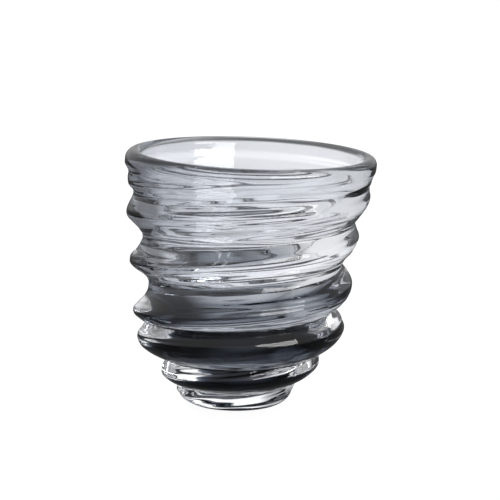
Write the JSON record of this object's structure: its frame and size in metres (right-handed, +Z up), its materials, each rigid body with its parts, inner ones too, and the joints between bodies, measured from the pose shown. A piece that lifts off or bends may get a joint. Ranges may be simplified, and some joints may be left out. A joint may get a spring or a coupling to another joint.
{
  "type": "whiskey tumbler",
  "caption": "Heavy cased-glass whiskey tumbler: a smoke-grey bowl in clear glass with a wavy rib winding up from a small round foot to a thick, slightly leaning rim.",
  "frame": {"origin": "centre of the foot's flat underside, where the tumbler rests", "axes": "+Z up, out of the mouth; +X the way the rim leans; -Y the side that the camera faces"},
  "size_m": [0.0997, 0.1, 0.1032],
  "materials": {
    "clear_glass": "fire-polished, glossy",
    "smoke_glass": "fire-polished, glossy"
  },
  "bodies": {
    "root": {"foot": "clear_glass", "clear_casing": "clear_glass", "smoke_bowl": "smoke_glass"}
  },
  "joints": []
}
